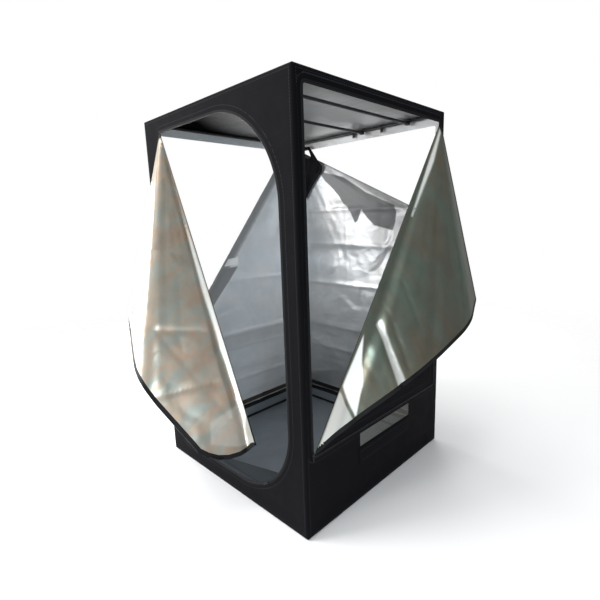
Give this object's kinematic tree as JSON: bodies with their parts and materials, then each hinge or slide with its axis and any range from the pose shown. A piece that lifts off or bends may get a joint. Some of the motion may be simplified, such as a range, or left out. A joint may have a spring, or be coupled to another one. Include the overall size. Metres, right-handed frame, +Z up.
{
  "type": "indoor grow tent",
  "caption": "Indoor grow tent: tube frame in a cloth cover with unzipped doors whose loose cloth hangs outside, sliding lamp bars, vent and floor tray.",
  "frame": {"origin": "middle of the tent's base, on the floor", "axes": "+Z up, -Y out of the front wall, +X out of the right wall"},
  "size_m": [1.694, 1.8973, 2],
  "materials": {
    "cover_cloth": "matt black woven cloth outside, crumpled silver film inside",
    "door_cloth": "black woven cloth outside, crumpled silver film inside",
    "frame_tube": "satin black powder coat",
    "corner_plastic": "matt black",
    "tray_cloth": "smooth slate grey coated cloth",
    "zip_tape": "matt black woven tape",
    "slider_metal": "satin black",
    "vent_net": "matt grey-black net",
    "strap_web": "matt black webbing"
  },
  "bodies": {
    "tent": {"back_door_panel": "door_cloth", "back_wall": "cover_cloth", "back_zip_tape": "zip_tape", "base_sheet": "cover_cloth", "bottom_corner_back_left": "corner_plastic", "bottom_corner_back_right": "corner_plastic", "bottom_corner_front_left": "corner_plastic", "bottom_corner_front_right": "corner_plastic", "bottom_rail_back": "frame_tube", "bottom_rail_front": "frame_tube", "bottom_rail_left": "frame_tube", "bottom_rail_right": "frame_tube", "floor_tray": "tray_cloth", "front_door_panel": "door_cloth", "front_wall": "cover_cloth", "front_zip_tape": "zip_tape", "left_door_panel": "door_cloth", "left_wall": "cover_cloth", "left_zip_tape": "zip_tape", "post_back_left": "frame_tube", "post_back_right": "frame_tube", "post_front_left": "frame_tube", "post_front_right": "frame_tube", "rail_strap_left": "strap_web", "rail_strap_right": "strap_web", "right_door_panel": "door_cloth", "right_vent_net": "vent_net", "right_wall": "cover_cloth", "right_zip_tape": "zip_tape", "roof_sheet": "cover_cloth", "top_corner_back_left": "corner_plastic", "top_corner_back_right": "corner_plastic", "top_corner_front_left": "corner_plastic", "top_corner_front_right": "corner_plastic", "top_rail_back": "frame_tube", "top_rail_front": "frame_tube", "top_rail_left": "frame_tube", "top_rail_right": "frame_tube"},
    "front_flap_1": {"front_door_flap_1": "door_cloth"},
    "front_flap_2": {"front_door_flap_2": "door_cloth"},
    "front_flap_3": {"front_door_flap_3": "door_cloth"},
    "front_slider": {"front_zip_slider": "slider_metal"},
    "right_flap_1": {"right_door_flap_1": "door_cloth"},
    "right_flap_2": {"right_door_flap_2": "door_cloth"},
    "right_flap_3": {"right_door_flap_3": "door_cloth"},
    "right_slider": {"right_zip_slider": "slider_metal"},
    "back_flap_1": {"back_door_flap_1": "door_cloth"},
    "back_flap_2": {"back_door_flap_2": "door_cloth"},
    "back_slider": {"back_zip_slider": "slider_metal"},
    "left_flap_1": {"left_door_flap_1": "door_cloth"},
    "left_flap_2": {"left_door_flap_2": "door_cloth"},
    "left_slider": {"left_zip_slider": "slider_metal"},
    "vent_cover": {"right_vent_cover": "cover_cloth"},
    "front_sill": {"front_door_sill": "door_cloth"},
    "bar_right": {"hanging_bar_right": "frame_tube", "hanging_bar_right_hook_front": "corner_plastic", "hanging_bar_right_hook_back": "corner_plastic"},
    "bar_middle": {"hanging_bar_middle": "frame_tube", "hanging_bar_middle_hook_front": "corner_plastic", "hanging_bar_middle_hook_back": "corner_plastic"}
  },
  "joints": [
    {"name": "front_fold_1", "type": "hinge", "parent": "tent", "child": "front_flap_1", "pos_m": [-0.42, -0.60015, 1.91], "axis": [-0.399, 0, 0.9169], "range_deg": [0, 102]},
    {"name": "front_fold_2", "type": "hinge", "parent": "front_flap_1", "child": "front_flap_2", "pos_m": [-0.42, -0.60015, 1.91], "axis": [-0.3101, 0.3337, 0.8902], "range_deg": [0, 86]},
    {"name": "front_fold_3", "type": "hinge", "parent": "front_flap_2", "child": "front_flap_3", "pos_m": [-0.42, -0.60015, 1.91], "axis": [0.0212, 0.2648, 0.9641], "range_deg": [0, 10]},
    {"name": "right_fold_1", "type": "hinge", "parent": "tent", "child": "right_flap_1", "pos_m": [0.60015, 0.545, 1.935], "axis": [0, -0.579, -0.8153], "range_deg": [0, 153]},
    {"name": "right_fold_2", "type": "hinge", "parent": "right_flap_1", "child": "right_flap_2", "pos_m": [0.60015, 0.545, 1.935], "axis": [0.1419, -0.323, -0.9357], "range_deg": [0, 14]},
    {"name": "right_fold_3", "type": "hinge", "parent": "right_flap_2", "child": "right_flap_3", "pos_m": [0.60015, 0.545, 1.935], "axis": [0.1981, -0.0148, -0.9801], "range_deg": [0, 24]},
    {"name": "back_fold_1", "type": "hinge", "parent": "tent", "child": "back_flap_1", "pos_m": [-0.545, 0.60015, 1.935], "axis": [0.9042, 0, -0.4272], "range_deg": [0, 140]},
    {"name": "back_fold_2", "type": "hinge", "parent": "back_flap_1", "child": "back_flap_2", "pos_m": [-0.545, 0.60015, 1.935], "axis": [0.8106, 0.1407, -0.5685], "range_deg": [0, 28]},
    {"name": "left_fold_1", "type": "hinge", "parent": "tent", "child": "left_flap_1", "pos_m": [-0.60015, 0.545, 1.935], "axis": [0, 0.6212, 0.7836], "range_deg": [0, 150]},
    {"name": "left_fold_2", "type": "hinge", "parent": "left_flap_1", "child": "left_flap_2", "pos_m": [-0.60015, 0.545, 1.935], "axis": [0.2176, 0.264, 0.9397], "range_deg": [0, 34]},
    {"name": "front_sill_fold", "type": "hinge", "parent": "tent", "child": "front_sill", "pos_m": [0, -0.59785, 0.115], "axis": [1, 0, 0], "range_deg": [0, 104]},
    {"name": "front_slider_run", "type": "hinge", "parent": "tent", "child": "front_slider", "pos_m": [0.11, -0.6, 0.5], "axis": [0, -1, 0], "range_deg": [-33, 53]},
    {"name": "right_slider_run", "type": "slide", "parent": "tent", "child": "right_slider", "axis": [0, 0, 1], "range_m": [0, 1.5]},
    {"name": "back_slider_run", "type": "slide", "parent": "tent", "child": "back_slider", "axis": [0, 0, 1], "range_m": [-1.24, 0.49]},
    {"name": "left_slider_run", "type": "slide", "parent": "tent", "child": "left_slider", "axis": [0, 1, 0], "range_m": [-0.6, 0.3]},
    {"name": "vent_cover_fold", "type": "hinge", "parent": "tent", "child": "vent_cover", "pos_m": [0.6013, 0.025, 0.29], "axis": [0, -1, 0], "range_deg": [0, 180]},
    {"name": "bar_right_slide", "type": "slide", "parent": "tent", "child": "bar_right", "axis": [1, 0, 0], "range_m": [-0.16, 0.12]},
    {"name": "bar_middle_slide", "type": "slide", "parent": "tent", "child": "bar_middle", "axis": [1, 0, 0], "range_m": [-0.055, 0.11]}
  ],
  "couplings": [
    {"joint": "front_fold_2", "follows": "front_fold_1", "ratio": 0.84313},
    {"joint": "front_fold_3", "follows": "front_fold_1", "ratio": 0.09803},
    {"joint": "right_fold_2", "follows": "right_fold_1", "ratio": 0.0915},
    {"joint": "right_fold_3", "follows": "right_fold_1", "ratio": 0.15686},
    {"joint": "back_fold_2", "follows": "back_fold_1", "ratio": 0.2},
    {"joint": "left_fold_2", "follows": "left_fold_1", "ratio": 0.22666}
  ]
}
